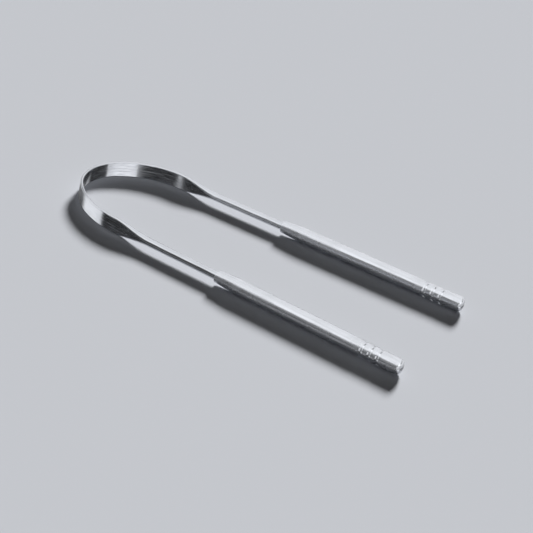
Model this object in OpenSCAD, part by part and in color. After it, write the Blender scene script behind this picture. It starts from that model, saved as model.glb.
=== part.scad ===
// Tongue scraper: a bow of stainless wire, pressed flat and standing on edge where
// it scrapes, with a closed tube handle swaged over each end of the wire.
// All sizes are in millimetres. +X runs from the bow to the ends of the handles,
// +Y lies across it and +Z is up. The origin is under the middle of the whole
// scraper, in the plane of the strip's lower edge.
// Left and right are those of someone who holds both handles with the bow
// pointing away from them, so the left handle lies at -Y.

/* [Wire] */
// Diameter of the round wire that the bow is bent from
wire_d = 3.2; // [2.6:0.1:3.6]

/* [Scraping strip] */
// Height of the pressed strip, square to the plane of the bow
strip_h = 6.5; // [4.5:0.1:9]
// Thickness of the pressed strip
strip_t = 1.1; // [0.9:0.05:1.6]
// Radius that softens the four long edges of the strip
edge_r = 0.35; // [0.1:0.05:0.4]

/* [Plan of the bow] */
// Radius of the tip, to the middle of the strip
tip_r = 20; // [14:0.5:26]
// Radius of each flank behind the tip, to the middle of the strip
flank_r = 31.5; // [20:0.5:45]
// Angle that each flank turns through
flank_turn = 49; // [20:1:70]
// Angle that each leg opens outwards from the middle line
splay = 1.6; // [0:0.1:4]

/* [Legs] */
// Length over which the pressed strip runs out into round wire
run_out_l = 17; // [8:1:26]
// Length of round wire in sight between the run-out and the handle
rod_l = 30.5; // [15:0.5:60]
// Length of wire held inside the handle
tail_l = 26; // [12:1:50]

/* [Handles] */
// Diameter of the handle tube
handle_d = 6; // [5.4:0.1:8]
// Length of each handle, from its mouth to the tip of its closed end
handle_l = 79; // [55:1:110]
// Wall of the handle tube
tube_wall = 0.6; // [0.4:0.05:0.8]
// Diameter of the handle at its mouth, where the tube is swaged down
mouth_d = 4.9; // [4.4:0.1:5.2]
// Length of the swaged taper behind the mouth
nose_l = 8.5; // [5:0.5:14]
// Length of the straight bore at the mouth that grips the wire
grip_l = 3; // [1.5:0.5:4.5]
// Gap all round between the wire and the grip
grip_gap = 0.02; // [0.01:0.01:0.08]
// Bevel around the mouth
mouth_bevel = 0.2; // [0.1:0.05:0.3]

/* [Closed ends] */
// Radius of the domed end face
dome_r = 5.2; // [4.2:0.1:9]
// Radius that rounds the rim of the end face
rim_r = 1.8; // [0.8:0.1:2.2]

/* [Rolled grooves] */
// Number of grooves around each handle
groove_count = 3; // [1:1:5]
// Distance from one groove to the next
groove_pitch = 3.3; // [2.6:0.1:4]
// Width of a groove at the surface
groove_w = 2; // [1.2:0.1:2.4]
// Depth of a groove
groove_depth = 0.3; // [0.1:0.05:0.35]
// Distance from the middle of the last groove to the tip of the closed end
groove_from_end = 9.5; // [6:0.5:16]

/* [Hidden] */

// Points on each rounded corner of the wire's section, and rings along a run-out
corner_points = 6;
run_out_rings = 14;
// Points across a groove
groove_points = 16;
// Sides of the rods and tubes, and of a full turn of the bow
round_sides = 96;
bow_sides = 240;
// How far a cutting shape reaches past the solid that it cuts
overrun = 1;
// How far neighbouring stretches of the wire reach into each other, and the step that
// lets one go inside the other: the flanks are that much thinner than the tip and the
// run-outs at every surface, and the run-outs that much thicker than the rods
lap_l = 0.1;
lap_step = 0.01;
// Size of the rim's radius inside the closed end, of that outside
inner_rim_share = 0.5;

steel_colour = [0.82, 0.83, 0.86];
tube_colour = [0.78, 0.79, 0.82];

wire_r = wire_d / 2;
handle_r = handle_d / 2;
mouth_r = mouth_d / 2;
grip_r = wire_r + grip_gap;
inner_r = handle_r - tube_wall;

// Half of the angle that the tip turns through, so that each flank meets its leg
tip_half_turn = 90 - splay - flank_turn;
leg_l = run_out_l + rod_l;

// Plan of the right side, measured from the centre of the tip's radius
flank_centre = (flank_r - tip_r) * [cos(tip_half_turn), -sin(tip_half_turn)];
strip_end = flank_centre + flank_r * [-sin(splay), cos(splay)];
mouth_at = strip_end + leg_l * [cos(splay), sin(splay)];

// The dome of each closed end touches the far side of the bounding box
reach_x = mouth_at[0] + (handle_l - dome_r) * cos(splay) + dome_r;
tip_x = -tip_r - strip_t / 2;
middle_x = (tip_x + reach_x) / 2;
axis_z = strip_h / 2;

// A share of the way, which starts and ends level
function eased(share) = share * share * (3 - 2 * share);
function blend(from, to, share) = from + (to - from) * eased(share);

// A rectangle with round corners, whose flats lie at its half width and half height
function rounded_section(half_w, half_h, corner_r) =
    let (step = 90 / corner_points,
         point_r = corner_r / cos(step / 2))
    [for (corner = [0:3]) for (k = [0:corner_points - 1])
        let (turn = 90 * corner + step * (k + 0.5),
             side_x = corner == 0 || corner == 3 ? 1 : -1,
             side_y = corner < 2 ? 1 : -1)
        [side_x * (half_w - corner_r) + point_r * cos(turn),
         side_y * (half_h - corner_r) + point_r * sin(turn)]];

// Section of the run-out between pressed strip, at share 0, and round wire, at share 1
function run_out_section(share) =
    rounded_section(blend(strip_t / 2, wire_r + lap_step, share),
                    blend(strip_h / 2, wire_r + lap_step, share),
                    blend(edge_r, wire_r + lap_step, share));

// A stretch of strip bent about the origin, from one plan angle through a turn
module bent_strip(radius, from_angle, turn, step = 0) {
    rotate([0, 0, from_angle])
        rotate_extrude(angle = turn, $fn = bow_sides)
            translate([radius, 0])
                polygon(rounded_section(strip_t / 2 - step, strip_h / 2 - step, edge_r));
}

// The strip runs out along +X: its height falls while it thickens into round wire
module run_out() {
    sides = 4 * corner_points;
    points = [for (ring = [0:run_out_rings])
        for (p = run_out_section(ring / run_out_rings))
            [run_out_l * ring / run_out_rings, p[0], p[1]]];
    skin = [for (ring = [0:run_out_rings - 1]) for (k = [0:sides - 1])
        let (a = ring * sides + k,
             b = ring * sides + (k + 1) % sides)
        each [[a, a + sides, b], [b, a + sides, b + sides]]];
    strip_face = [for (k = [0:sides - 1]) k];
    round_face = [for (k = [sides - 1:-1:0]) run_out_rings * sides + k];
    polyhedron(points, concat(skin, [strip_face, round_face]));
}

// Puts a piece of the right leg in place: its x runs from the end of the strip
module on_leg() {
    translate([strip_end[0], strip_end[1], 0])
        rotate([0, 0, splay])
            children();
}

// Moves the plan from the centre of the tip's radius to the part's own origin
module in_frame() {
    translate([-middle_x, 0, axis_z])
        children();
}

// Flank, run-out, round rod and the tail inside the handle
module right_side_of_bow() {
    lap_turn = lap_l / flank_r * 180 / PI;
    translate([flank_centre[0], flank_centre[1], 0])
        bent_strip(flank_r, 90 + splay - lap_turn, flank_turn + 2 * lap_turn, lap_step);
    on_leg() {
        run_out();
        translate([run_out_l - lap_l, 0, 0])
            rotate([0, 90, 0])
                cylinder(h = lap_l + rod_l + tail_l, r = wire_r, $fn = round_sides);
    }
}

// One length of wire, pressed flat through the bow and left round along the legs
module scraper_bow() {
    color(steel_colour)
        in_frame() {
            bent_strip(tip_r, 180 - tip_half_turn, 2 * tip_half_turn);
            right_side_of_bow();
            mirror([0, 1, 0])
                right_side_of_bow();
        }
}

// Half outline of a closed end: a barrel, a round rim and a dome tangent to it
module closed_end(from_x, to_x, outer_r, face_r, corner_r) {
    dome_x = to_x - face_r;
    corner_y = outer_r - corner_r;
    corner_x = dome_x + sqrt(pow(face_r - corner_r, 2) - pow(corner_y, 2));
    translate([from_x, 0])
        square([corner_x - from_x, outer_r]);
    intersection() {
        translate([corner_x, corner_y])
            circle(r = corner_r, $fn = round_sides);
        translate([corner_x, 0])
            square([corner_r, outer_r]);
    }
    intersection() {
        translate([dome_x, 0])
            circle(r = face_r, $fn = bow_sides);
        polygon([[dome_x, 0], [to_x, 0],
                 [to_x, corner_y * face_r / (corner_x - dome_x)]]);
    }
}

// What the swaging takes off the half outline of the tube at its nose and mouth
module nose_cut() {
    polygon([[nose_l, handle_r + overrun], [nose_l, handle_r], [mouth_bevel, mouth_r],
             [-overrun, mouth_r - mouth_bevel - overrun], [-overrun, handle_r + overrun]]);
}

// Half outline of the hollow: grip, cone inside the swaged nose, full bore and end
module hollow_outline() {
    polygon([[-overrun, 0], [-overrun, grip_r], [grip_l, grip_r], [nose_l, inner_r],
             [nose_l + overrun, inner_r], [nose_l + overrun, 0]]);
    closed_end(nose_l, handle_l - tube_wall, inner_r, dome_r - tube_wall,
               rim_r * inner_rim_share);
}

// Outlines of the rolled grooves, with soft shoulders and a soft floor
module groove_outlines() {
    half_w = groove_w / 2;
    floor_line = [for (k = [0:groove_points])
        let (across = 2 * k / groove_points - 1)
        [half_w * across, -groove_depth * (1 + cos(180 * across)) / 2]];
    for (i = [0:groove_count - 1])
        translate([handle_l - groove_from_end - i * groove_pitch, handle_r])
            polygon(concat(floor_line, [[half_w, overrun], [-half_w, overrun]]));
}

// One handle, with its axis on X and its mouth at x = 0
module handle_tube() {
    rotate([0, 90, 0])
        rotate_extrude($fn = round_sides)
            mirror([1, -1])
                difference() {
                    closed_end(0, handle_l, handle_r, dome_r, rim_r);
                    nose_cut();
                    hollow_outline();
                    groove_outlines();
                }
}

module right_handle() {
    color(tube_colour)
        in_frame()
            on_leg()
                translate([leg_l, 0, 0])
                    handle_tube();
}

module left_handle() {
    color(tube_colour)
        mirror([0, 1, 0])
            in_frame()
                on_leg()
                    translate([leg_l, 0, 0])
                        handle_tube();
}

scraper_bow();
left_handle();
right_handle();
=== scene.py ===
"""The look of a stainless steel tongue scraper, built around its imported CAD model.

Metres, +X from the bow to the ends of the handles, +Y across, +Z up.
"""

from math import atan2, cos, pi, radians, sin, sqrt

import bmesh
import bpy
from mathutils import Matrix, Vector


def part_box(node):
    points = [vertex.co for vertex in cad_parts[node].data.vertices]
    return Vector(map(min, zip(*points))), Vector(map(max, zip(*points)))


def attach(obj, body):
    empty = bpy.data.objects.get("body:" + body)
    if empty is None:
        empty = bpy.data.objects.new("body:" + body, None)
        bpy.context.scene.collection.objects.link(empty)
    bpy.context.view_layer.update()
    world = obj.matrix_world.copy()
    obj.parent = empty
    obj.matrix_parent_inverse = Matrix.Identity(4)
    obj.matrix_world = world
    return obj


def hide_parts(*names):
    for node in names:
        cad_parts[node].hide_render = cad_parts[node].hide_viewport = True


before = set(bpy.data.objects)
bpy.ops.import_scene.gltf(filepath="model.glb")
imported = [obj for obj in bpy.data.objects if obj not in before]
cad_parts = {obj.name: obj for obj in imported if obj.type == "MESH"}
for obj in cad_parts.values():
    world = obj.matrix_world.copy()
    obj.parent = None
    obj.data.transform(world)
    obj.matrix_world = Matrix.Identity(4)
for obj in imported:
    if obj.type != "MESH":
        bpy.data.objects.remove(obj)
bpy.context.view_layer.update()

# The wire of the bow
# One length of 3.2 mm round stainless wire, bent to a U in the plane of its legs. The
# middle is pressed flat and stands on edge to scrape. It runs out into round rods,
# whose tails go on inside the two handles. All of it is polished along its length.
wire_radius = 0.0016
strip_thickness = 0.0011
strip_edge_radius = 0.00035
tip_radius = 0.020
flank_radius = 0.0315
flank_turn = radians(49)
splay = radians(1.6)
run_out_length = 0.017
rod_length = 0.0305
tail_length = 0.026
end_bevel = wire_radius / 4
end_share = 0.8
wire_colour = (0.55, 0.56, 0.59, 1)
# How strongly marks run round the piece, by share of its length: not at all
unturned = ((0, 0), (1, 0))

section_points = 96
corner_weight = 0.002
tip_rings = 24
flank_rings = 32
run_out_rings = 48
rod_rings = 4
merge_distance = 1e-7

bow_low, bow_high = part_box("scraper_bow")
strip_height = bow_high.z - bow_low.z
wire_height = (bow_low.z + bow_high.z) / 2
tip_turn = pi / 2 - splay - flank_turn
tip_centre = Vector((bow_low.x + strip_thickness / 2 + tip_radius, 0))
flank_centre = tip_centre + (flank_radius - tip_radius) * Vector((cos(tip_turn), -sin(tip_turn)))
leg_heading = Vector((cos(splay), sin(splay)))
leg_start = flank_centre + flank_radius * Vector((-leg_heading.y, leg_heading.x))
tip_length = tip_radius * tip_turn
strip_length = tip_length + flank_radius * flank_turn
rod_start = strip_length + run_out_length
mouth_start = rod_start + rod_length
wire_end = mouth_start + tail_length


def wire_place(along):
    """Plan position of the wire's middle line and its heading, that far from the tip."""
    if along < tip_length:
        turn = along / tip_radius
        out = Vector((-cos(turn), sin(turn)))
        return tip_centre + tip_radius * out, Vector((out.y, -out.x))
    if along < strip_length:
        turn = tip_turn + (along - tip_length) / flank_radius
        out = Vector((-cos(turn), sin(turn)))
        return flank_centre + flank_radius * out, Vector((out.y, -out.x))
    return leg_start + (along - strip_length) * leg_heading, leg_heading


def wire_section(along):
    """Half thickness, half height and corner radius of the wire, that far from the tip."""
    share = min(max((along - strip_length) / run_out_length, 0), 1)
    eased = share * share * (3 - 2 * share)
    flat = (strip_thickness / 2, strip_height / 2, strip_edge_radius)
    return [size + (wire_radius - size) * eased for size in flat]


def around_section(half_width, half_height, corner, share):
    """The point at that share of the way round a section. Each corner counts as longer
    than it is, by the corner weight, so most points are on the corners."""
    flat_w = half_width - corner
    flat_h = half_height - corner
    arc = (corner + corner_weight) * pi / 2
    quarter, at = divmod(share * 4, 1)
    at *= flat_h + arc + flat_w
    if quarter % 2:
        at = flat_h + arc + flat_w - at
    if at < flat_h:
        across = half_width
        up = at
    elif at < flat_h + arc:
        turn = (at - flat_h) / arc * pi / 2
        across = flat_w + corner * cos(turn)
        up = flat_h + corner * sin(turn)
    else:
        across = flat_w + flat_h + arc - at
        up = half_height
    return Vector((-across if quarter in (1, 2) else across, -up if quarter > 1 else up))


stations = [tip_length * i / tip_rings for i in range(tip_rings)]
stations += [tip_length + (strip_length - tip_length) * i / flank_rings for i in range(flank_rings)]
stations += [strip_length + run_out_length * i / run_out_rings for i in range(run_out_rings)]
stations += [rod_start + rod_length * i / rod_rings for i in range(rod_rings)]
stations += [mouth_start, wire_end - end_bevel, wire_end]

wire = bmesh.new()
unbent = wire.verts.layers.float_vector.new("unbent")
run = wire.verts.layers.float_vector.new("run")
ring = bmesh.ops.create_circle(wire, segments=section_points, radius=wire_radius)["verts"]
for number, along in enumerate(stations):
    if number:
        edges = [wire.edges.get(pair) for pair in zip(ring, ring[1:] + ring[:1])]
        drawn = set(bmesh.ops.extrude_edge_only(wire, edges=edges)["geom"])
        ring = [
            next(edge.other_vert(vert) for edge in vert.link_edges if edge.other_vert(vert) in drawn)
            for vert in ring
        ]
    middle, heading = wire_place(along)
    sizes = wire_section(along)
    shrink = end_share if along == wire_end else 1
    for place, vert in enumerate(ring):
        across, up = around_section(*sizes, place / section_points) * shrink
        vert.co = (middle.x - heading.y * across, middle.y + heading.x * across, wire_height + up)
        vert[unbent] = (along, across, up)
        vert[run] = (heading.x, heading.y, 0)
bmesh.ops.contextual_create(wire, geom=ring)
half = bmesh.ops.duplicate(wire, geom=wire.verts[:] + wire.edges[:] + wire.faces[:])["geom"]
mirrored = [part for part in half if isinstance(part, bmesh.types.BMVert)]
for vert in mirrored:
    vert.co.y = -vert.co.y
    vert[unbent].x = -vert[unbent].x
    vert[run].y = -vert[run].y
bmesh.ops.remove_doubles(wire, verts=wire.verts, dist=merge_distance)
bmesh.ops.recalc_face_normals(wire, faces=wire.faces)
for face in wire.faces:
    face.smooth = len(face.verts) == 4
bow_mesh = bpy.data.meshes.new("bow_wire")
wire.to_mesh(bow_mesh)
wire.free()
bow = bpy.data.objects.new("bow_wire", bow_mesh)
bpy.context.collection.objects.link(bow)


class Nodes:
    """The nodes of one material or of the world."""

    def __init__(self, owner):
        owner.use_nodes = True
        self.tree = owner.node_tree
        self.tree.nodes.clear()

    def add(self, kind, settings, inputs, output=0):
        """Adds a node with these settings and these values or signals at its inputs. The
        stops of a ramp are pairs of a place and a grey level."""
        node = self.tree.nodes.new("ShaderNode" + kind)
        for name, value in settings.items():
            if name == "stops":
                elements = node.color_ramp.elements
                while len(elements) < len(value):
                    elements.new(1)
                for element, (place, level) in zip(elements, value):
                    element.position = place
                    element.color = (level, level, level, 1)
            else:
                setattr(node, name, value)
        for place, value in inputs.items():
            if isinstance(value, Signal):
                self.tree.links.new(value.socket, node.inputs[place])
            else:
                node.inputs[place].default_value = value
        return Signal(self, node.outputs[output]) if node.outputs else None

    def vector(self, operation, first, second, output=0):
        return self.add("VectorMath", {"operation": operation}, {0: first, 1: second}, output)

    def mix(self, share, first, second):
        return self.add("Mix", {"data_type": "RGBA"}, {0: share, 6: first, 7: second}, 2)

    def ramp(self, signal, stops):
        """A grey level for each value of the signal, in straight lines between the stops."""
        return self.add("ValToRGB", {"stops": stops}, {0: signal})


class Signal:
    """The output of a node. Arithmetic on it adds a node for the result."""

    def __init__(self, nodes, socket):
        self.nodes = nodes
        self.socket = socket

    def math(self, operation, *others):
        return self.nodes.add("Math", {"operation": operation}, dict(enumerate((self, *others))))

    def __add__(self, other):
        return self.math("ADD", other)

    def __sub__(self, other):
        return self.math("SUBTRACT", other)

    def __rsub__(self, other):
        return self.nodes.add("Math", {"operation": "SUBTRACT"}, {0: other, 1: self})

    def __mul__(self, other):
        return self.math("MULTIPLY", other)

    def __truediv__(self, other):
        return self.math("DIVIDE", other)

    __radd__ = __add__
    __rmul__ = __mul__


# How often each kind of mark changes in a metre: along the piece, across it and up
fine_marks = (140, 14000, 14000)
broad_marks = (50, 1700, 1700)
turning_marks = (9000, 90, 90)
smear_marks = (140, 240, 240)
pit_marks = (1600, 1600, 1600)
fine_share = 0.6
pit_share = 0.4
dent_strength = 0.3
dent_height = 0.00001
smear_gain = 3
smear_cut = 1.2
dulled_level = 0.84
dulled_roughness = 0.3
mottle_middle = 0.4
mottle_gain = 1.4
mottle_roughness = 0.06


def steel(name, colour, length, spread, satin, dulled, turned):
    """Stainless steel polished along its length. Fine marks tilt the surface across it by
    up to the spread, satin is the least roughness that they leave, dulled says how much
    handling shows, and turned gives where marks run round the piece as well."""
    material = bpy.data.materials.new(name)
    nodes = Nodes(material)
    place = nodes.add("Attribute", {"attribute_name": "unbent"}, {}, "Vector")
    along = nodes.add("Attribute", {"attribute_name": "run"}, {}, "Vector")
    normal = nodes.add("NewGeometry", {}, {}, "Normal")

    def noise(per_metre, detail):
        """Noise about 0.5 that changes so many times in a metre, each way."""
        stretched = nodes.vector("MULTIPLY", place, per_metre)
        return nodes.add("TexNoise", {}, {"Vector": stretched, "Scale": 1, "Detail": detail})

    fine = noise(fine_marks, 1)
    broad = noise(broad_marks, 2)
    turning = noise(turning_marks, 1)
    smears = noise(smear_marks, 3)
    pits = noise(pit_marks, 2)
    from_start = nodes.add("SeparateXYZ", {}, {0: place}, "X").math("ABSOLUTE")
    round_it = nodes.ramp(from_start / length, turned)
    lean = ((fine - 0.5) * fine_share + (broad - 0.5) * (1 - fine_share)) * spread
    tilt = (turning - 0.5) * round_it
    sideways = nodes.vector("CROSS_PRODUCT", normal, along)
    scaled = nodes.add("VectorMath", {"operation": "SCALE"}, {"Vector": sideways, "Scale": lean})
    pitched = nodes.add("VectorMath", {"operation": "SCALE"}, {"Vector": along, "Scale": tilt})
    tilted = nodes.vector("ADD", nodes.vector("ADD", normal, scaled), pitched)
    brushed = nodes.add("VectorMath", {"operation": "NORMALIZE"}, {0: tilted})
    bump_inputs = {
        "Strength": dent_strength,
        "Distance": dent_height,
        "Height": smears + pits * pit_share,
        "Normal": brushed,
    }
    # Handling dulls the patches where the smears are strongest, and the broad marks vary
    # the colour and the roughness a little everywhere
    dull = (smears * smear_gain - smear_cut).math("MAXIMUM", 0)
    grey = [dulled_level * level for level in colour[:3]] + [1]
    mottle = (broad - mottle_middle) * mottle_gain
    shader_inputs = {
        "Base Color": nodes.mix(dull * dulled + mottle, colour, grey),
        "Metallic": 1.0,
        "Roughness": dull * (dulled_roughness * dulled) + broad * mottle_roughness + satin,
        "Normal": nodes.add("Bump", {}, bump_inputs),
    }
    shader = nodes.add("BsdfPrincipled", {}, shader_inputs)
    nodes.add("OutputMaterial", {}, {"Surface": shader})
    return material


bow_steel = steel(
    "bow_steel",
    wire_colour,
    length=wire_end,
    spread=0.45,
    satin=0.06,
    dulled=0.3,
    turned=unturned,
)
bow_mesh.materials.append(bow_steel)
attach(bow, "root")
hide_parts("scraper_bow")

# The handles
# Thin stainless tube, 6 mm across, swaged down over the wire at its mouth. The far end
# is closed with a shallow dome, and three grooves are rolled round the tube before it.
# Turning has left fine marks round the nose, the grooves and the end.
handle_radius = 0.003
handle_length = 0.079
tube_wall = 0.0006
mouth_radius = 0.00245
mouth_bevel = 0.0002
nose_length = 0.0085
nose_blend = 0.0012
grip_length = 0.003
grip_gap = 0.00002
grip_radius = wire_radius + grip_gap
dome_radius = 0.0052
rim_radius = 0.0018
inner_rim_radius = 0.0009
groove_count = 3
groove_pitch = 0.0033
groove_width = 0.002
groove_depth = 0.0003
groove_from_end = 0.0095
last_groove = handle_length - groove_from_end
tube_colour = (0.61, 0.62, 0.65, 1)
# Marks from turning at the nose, at the grooves and at the closed end
turned_tube = ((0, 0.25), (0.09, 0.2), (0.12, 0.04), (0.76, 0.04), (0.78, 0.2), (1, 0.25))

tube_sides = 128
mouth_steps = 6
blend_steps = 8
groove_steps = 20
rim_steps = 16
dome_steps = 10
brace_reach = 0.00008
mouth, mouth_heading = wire_place(mouth_start)


def closed_end(length, radius, face_radius, corner_radius):
    """Points of a closed end's half outline, from the barrel over the rim to the axis."""
    dome_x = length - face_radius
    corner_y = radius - corner_radius
    corner_x = dome_x + sqrt((face_radius - corner_radius) ** 2 - corner_y**2)
    meet = atan2(corner_y, corner_x - dome_x)
    rim = [pi / 2 + (meet - pi / 2) * i / rim_steps for i in range(rim_steps)]
    dome = [meet * (1 - i / dome_steps) for i in range(dome_steps)]
    points = [(corner_x + corner_radius * cos(a), corner_y + corner_radius * sin(a)) for a in rim]
    points += [(dome_x + face_radius * cos(a), face_radius * sin(a)) for a in dome]
    return points + [(length, 0)]


def groove(middle):
    """Points across a rolled groove, with soft shoulders and a soft floor."""
    shares = [2 * i / groove_steps - 1 for i in range(groove_steps + 1)]
    half = groove_width / 2
    return [(middle + half * s, handle_radius - groove_depth * (1 + cos(pi * s)) / 2) for s in shares]


def braced(points):
    """Adds a point close to each end of every long stretch, where smooth shading then stays."""
    rows = []
    for start, end in zip(points, points[1:]):
        start = Vector(start)
        end = Vector(end)
        rows.append(start)
        if (end - start).length > 4 * brace_reach:
            step = (end - start).normalized() * brace_reach
            rows += [start + step, end - step]
    return rows + [Vector(points[-1])]


outline = closed_end(
    handle_length - tube_wall, handle_radius - tube_wall, dome_radius - tube_wall, inner_rim_radius
)[::-1]
outline += [(nose_length, handle_radius - tube_wall), (grip_length, grip_radius), (0, grip_radius)]
for i in range(mouth_steps + 1):
    turn = pi / 2 * i / mouth_steps
    rounded = mouth_radius - mouth_bevel * (1 - sin(turn))
    outline.append((mouth_bevel * (1 - cos(turn)), rounded))
nose_slope = (handle_radius - mouth_radius) / (nose_length - mouth_bevel)
for i in range(blend_steps + 1):
    share = i / blend_steps
    drop = nose_slope * nose_blend * (1 - share) ** 2
    outline.append((nose_length + (2 * share - 1) * nose_blend, handle_radius - drop))
for i in reversed(range(groove_count)):
    outline += groove(last_groove - i * groove_pitch)
outline += closed_end(handle_length, handle_radius, dome_radius, rim_radius)

handle_steel = steel(
    "handle_steel",
    tube_colour,
    length=handle_length,
    spread=0.32,
    satin=0.17,
    dulled=0.45,
    turned=turned_tube,
)
for side, name in ((-1, "left_handle"), (1, "right_handle")):
    tube = bmesh.new()
    unbent = tube.verts.layers.float_vector.new("unbent")
    run = tube.verts.layers.float_vector.new("run")
    chain = [tube.verts.new((x, 0, y)) for x, y in braced(outline)]
    edges = [tube.edges.new(pair) for pair in zip(chain, chain[1:])]
    bmesh.ops.spin(
        tube,
        geom=chain + edges,
        cent=(0, 0, 0),
        axis=(1, 0, 0),
        angle=2 * pi,
        steps=tube_sides,
        use_merge=True,
    )
    bmesh.ops.remove_doubles(tube, verts=tube.verts, dist=merge_distance)
    bmesh.ops.recalc_face_normals(tube, faces=tube.faces)
    for vert in tube.verts:
        vert[unbent] = vert.co
        vert[run] = (mouth_heading.x, side * mouth_heading.y, 0)
    for face in tube.faces:
        face.smooth = True
    place = Matrix.Translation((mouth.x, side * mouth.y, wire_height))
    bmesh.ops.transform(tube, matrix=place @ Matrix.Rotation(side * splay, 4, "Z"), verts=tube.verts)
    mesh = bpy.data.meshes.new(name + "_tube")
    tube.to_mesh(mesh)
    tube.free()
    mesh.materials.append(handle_steel)
    handle = bpy.data.objects.new(name + "_tube", mesh)
    bpy.context.collection.objects.link(handle)
    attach(handle, "root")
    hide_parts(name)

# The floor
# A plain pale tabletop, far wider than any view of the scraper. Its polish shows in the
# steel, and the camera sees it without glare, as through a polarising filter.
floor_radius = 12
floor_sides = 64
floor_colour = (0.55, 0.565, 0.6, 1)
polish_roughness = 0.08
# The share of polish at each slant, which is 0 from straight above and 1 from the side
polish_by_slant = (
    (0.39, 0.01),
    (0.45, 0.88),
    (0.56, 0.88),
    (0.61, 0.35),
    (0.7, 0.45),
    (0.84, 0.92),
    (1, 0.95),
)

ground = bmesh.new()
bmesh.ops.create_circle(ground, cap_ends=True, segments=floor_sides, radius=floor_radius)
floor_mesh = bpy.data.meshes.new("floor")
ground.to_mesh(floor_mesh)
ground.free()
floor = bpy.data.objects.new("floor", floor_mesh)
bpy.context.collection.objects.link(floor)

paint = bpy.data.materials.new("floor_paint")
nodes = Nodes(paint)
matt = nodes.add("BsdfDiffuse", {}, {"Color": floor_colour})
shine = nodes.add("BsdfGlossy", {}, {"Roughness": polish_roughness})
slant = nodes.add("LayerWeight", {}, {"Blend": 0.5}, "Facing")
in_view = nodes.add("LightPath", {}, {}, "Is Camera Ray")
polish = nodes.ramp(slant, polish_by_slant) * (1 - in_view)
either = nodes.add("MixShader", {}, {0: polish, 1: matt, 2: shine})
nodes.add("OutputMaterial", {}, {"Surface": either})
floor_mesh.materials.append(paint)

# The light
# A soft key light from behind and a weak fill from above light the floor. The steel sees
# a pale dome that darkens towards the camera, and two bands round the table in front of
# it, pale to each side and black between, with a gap where the handles look.

# Each lamp has a name, a bearing, a height and a width in degrees, and the brightness that
# it gives a white floor
lamps = (
    ("key_light", 102, 25, 12, 0.94),
    ("fill_light", 0, 90, 120, 0.07),
)
for name, azimuth, elevation, width, brightness in lamps:
    sun = bpy.data.lights.new(name, "SUN")
    sun.angle = radians(width)
    sun.energy = brightness * pi / sin(radians(elevation))
    light = bpy.data.objects.new(name, sun)
    bpy.context.collection.objects.link(light)
    light.visible_glossy = False
    way = Vector((
        cos(radians(azimuth)) * cos(radians(elevation)),
        sin(radians(azimuth)) * cos(radians(elevation)),
        sin(radians(elevation)),
    ))
    light.rotation_euler = way.to_track_quat("Z", "Y").to_euler()

studio_strength = 2.9
studio_tint = (0.97, 0.985, 1, 1)
backdrop = (0.56, 0.575, 0.61, 1)
far_bearing = radians(113)
# From the horizon on the camera's side, at 0, over the top to the far one, at 1
dome_levels = (
    (0, 0.03),
    (0.045, 0.06),
    (0.08, 0.1),
    (0.12, 0.18),
    (0.14, 0.2),
    (0.152, 0.08),
    (0.173, 0.08),
    (0.183, 0.36),
    (0.23, 0.44),
    (0.28, 0.49),
    (0.36, 0.5),
    (0.5, 0.43),
    (1, 0.41),
)
# By bearing in degrees from +X towards +Y: how bright a band is, and the share of the
# dome that it covers. Its heights are sines of the angle above the horizon.
low_levels = (
    (-180, 0.3),
    (-142, 0.3),
    (-140, 0.03),
    (-110, 0.03),
    (-74, 0.3),
    (-70, 0.42),
    (-49, 0.42),
    (-45, 0.34),
    (5, 0.3),
    (7, 0.3),
)
low_cover = ((-180, 1), (-111, 1), (-107, 0), (-74, 0), (-69, 1), (6, 1), (12, 0), (164, 0), (176, 1))
low_heights = ((0.36, 1), (0.44, 0))
high_levels = (
    (-180, 0.68),
    (-145, 0.68),
    (-143, 0.01),
    (-59, 0.01),
    (-55, 0.08),
    (-49, 0.18),
    (-47, 0.76),
    (-15, 0.76),
    (6, 0.6),
    (9, 0.01),
    (60, 0.01),
    (66, 0.2),
    (80, 0.3),
    (125, 0.08),
    (162, 0.05),
    (175, 0.65),
)
high_cover = ((-180, 1), (80, 1), (86, 0), (119, 0), (127, 1))
high_heights = ((0.37, 0), (0.43, 1), (0.57, 1), (0.62, 0))
# By how far a direction points along +X: the share of the bands that is there
gap_cover = (
    (-0.4, 1),
    (-0.37, 0.4),
    (-0.35, 0.1),
    (-0.33, 0),
    (-0.29, 0.7),
    (-0.25, 0.9),
    (-0.18, 1),
)


def once_round(stops):
    """Stops by bearing in degrees, as stops from 0 to 1 for one turn that starts at -X."""
    return [((degrees + 180) / 360, value) for degrees, value in stops]


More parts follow.
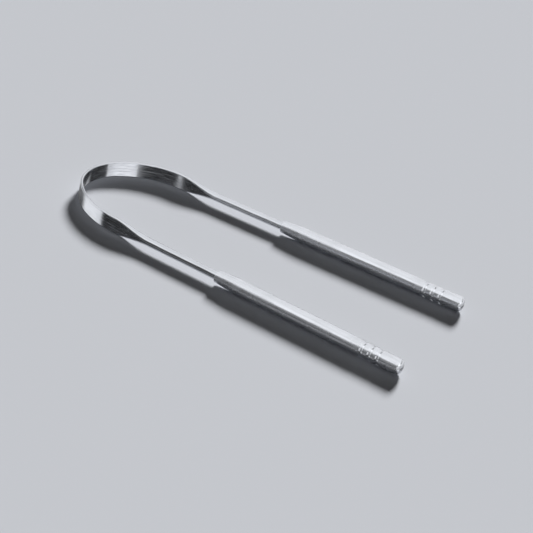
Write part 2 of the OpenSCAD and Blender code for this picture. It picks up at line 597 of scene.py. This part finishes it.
world = bpy.data.worlds.new("studio")
bpy.context.scene.world = world
world.cycles_visibility.diffuse = False
nodes = Nodes(world)
direction = nodes.add("TexCoord", {}, {}, "Generated")
east = nodes.add("SeparateXYZ", {}, {0: direction}, "X")
north = nodes.add("SeparateXYZ", {}, {0: direction}, "Y")
height = nodes.add("SeparateXYZ", {}, {0: direction}, "Z")
far = Vector((cos(far_bearing), sin(far_bearing), 0))
farness = nodes.vector("DOT_PRODUCT", direction, far, "Value")
bearing = north.math("ARCTAN2", east) / (2 * pi) + 0.5
beside_gap = nodes.ramp(east * 0.5 + 0.5, [((place + 1) / 2, value) for place, value in gap_cover])
glow = nodes.ramp(height.math("ARCTAN2", 0 - farness) / pi, dome_levels)
for levels, cover, heights in (
    (low_levels, low_cover, low_heights),
    (high_levels, high_cover, high_heights),
):
    band = nodes.ramp(bearing, once_round(levels))
    share = nodes.ramp(bearing, once_round(cover)) * nodes.ramp(height, heights) * beside_gap
    glow = nodes.mix(share, glow, band)
tinted = nodes.mix(glow, (0, 0, 0, 1), studio_tint)
studio = nodes.add("Background", {}, {"Color": tinted, "Strength": studio_strength})
plain = nodes.add("Background", {}, {"Color": backdrop})
in_view = nodes.add("LightPath", {}, {}, "Is Camera Ray")
either = nodes.add("MixShader", {}, {0: in_view, 1: studio, 2: plain})
nodes.add("OutputWorld", {}, {"Surface": either})

# The camera
# At the photograph's viewing angle: it looks down at 31 degrees on the left handle's
# side, from a little behind the middle, and leans 13 degrees.
camera_azimuth = radians(22.900)
camera_elevation = radians(31.266)
camera_lean = radians(-12.763)
camera_distance = 0.604604
# The point at the wire's height that lies in the middle of the picture
camera_aim = Vector((mouth.x + 0.010017, -0.005521, wire_height))
focal_pixels = 1600
image_pixels = 533
sensor_width = 36

back = Vector((
    sin(camera_azimuth) * cos(camera_elevation),
    -cos(camera_azimuth) * cos(camera_elevation),
    sin(camera_elevation),
))
level = Vector((0, 0, 1)).cross(back).normalized()
upright = back.cross(level)
right = cos(camera_lean) * level - sin(camera_lean) * upright
up = sin(camera_lean) * level + cos(camera_lean) * upright
lens = bpy.data.cameras.new("photo_camera")
lens.sensor_width = sensor_width
lens.lens = sensor_width * focal_pixels / image_pixels
lens.clip_start = 0.01
camera = bpy.data.objects.new("photo_camera", lens)
bpy.context.collection.objects.link(camera)
leaning = Matrix((right, up, back)).transposed().to_4x4()
camera.matrix_world = Matrix.Translation(camera_aim + camera_distance * back) @ leaning
bpy.context.scene.camera = camera
bpy.context.scene.view_settings.view_transform = "Standard"
